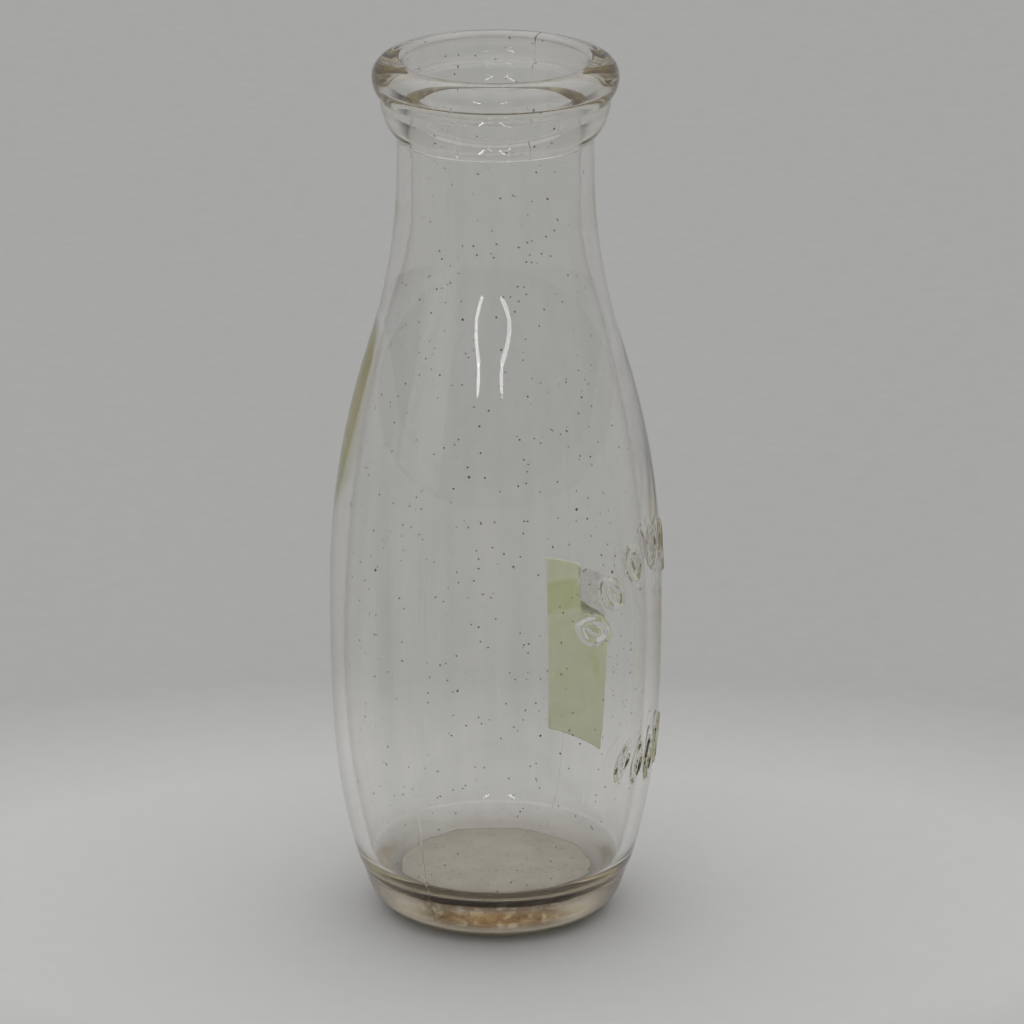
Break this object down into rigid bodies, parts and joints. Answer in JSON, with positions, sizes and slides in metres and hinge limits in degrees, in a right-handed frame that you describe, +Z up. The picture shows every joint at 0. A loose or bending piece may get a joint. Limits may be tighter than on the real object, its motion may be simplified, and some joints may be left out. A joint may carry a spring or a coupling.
{
  "type": "glass milk bottle",
  "caption": "Round glass milk bottle with a swelling body, slim neck, thick rolled lip with a cap seat, raised leaf ornament, and the remains of a green paper sticker.",
  "frame": {"origin": "on the bottle's axis, in the plane of the ring it stands on", "axes": "+Z up the bottle's axis to the mouth; the raised ornament faces 70 degrees round from -Y towards +X; the sticker is 145.8 degrees round from -Y towards +X"},
  "size_m": [0.0755, 0.075, 0.2],
  "materials": {
    "glass": "clear pressed and blown glass, faintly straw tinted",
    "sticker_paper": "faded green uncoated paper",
    "adhesive": "aged brownish adhesive, translucent",
    "dried_milk": "thin beige film dried on the inside floor"
  },
  "bodies": {
    "root": {"glass_bottle": "glass", "price_sticker": "sticker_paper", "sticker_adhesive": "adhesive", "dried_film": "dried_milk"}
  },
  "joints": []
}
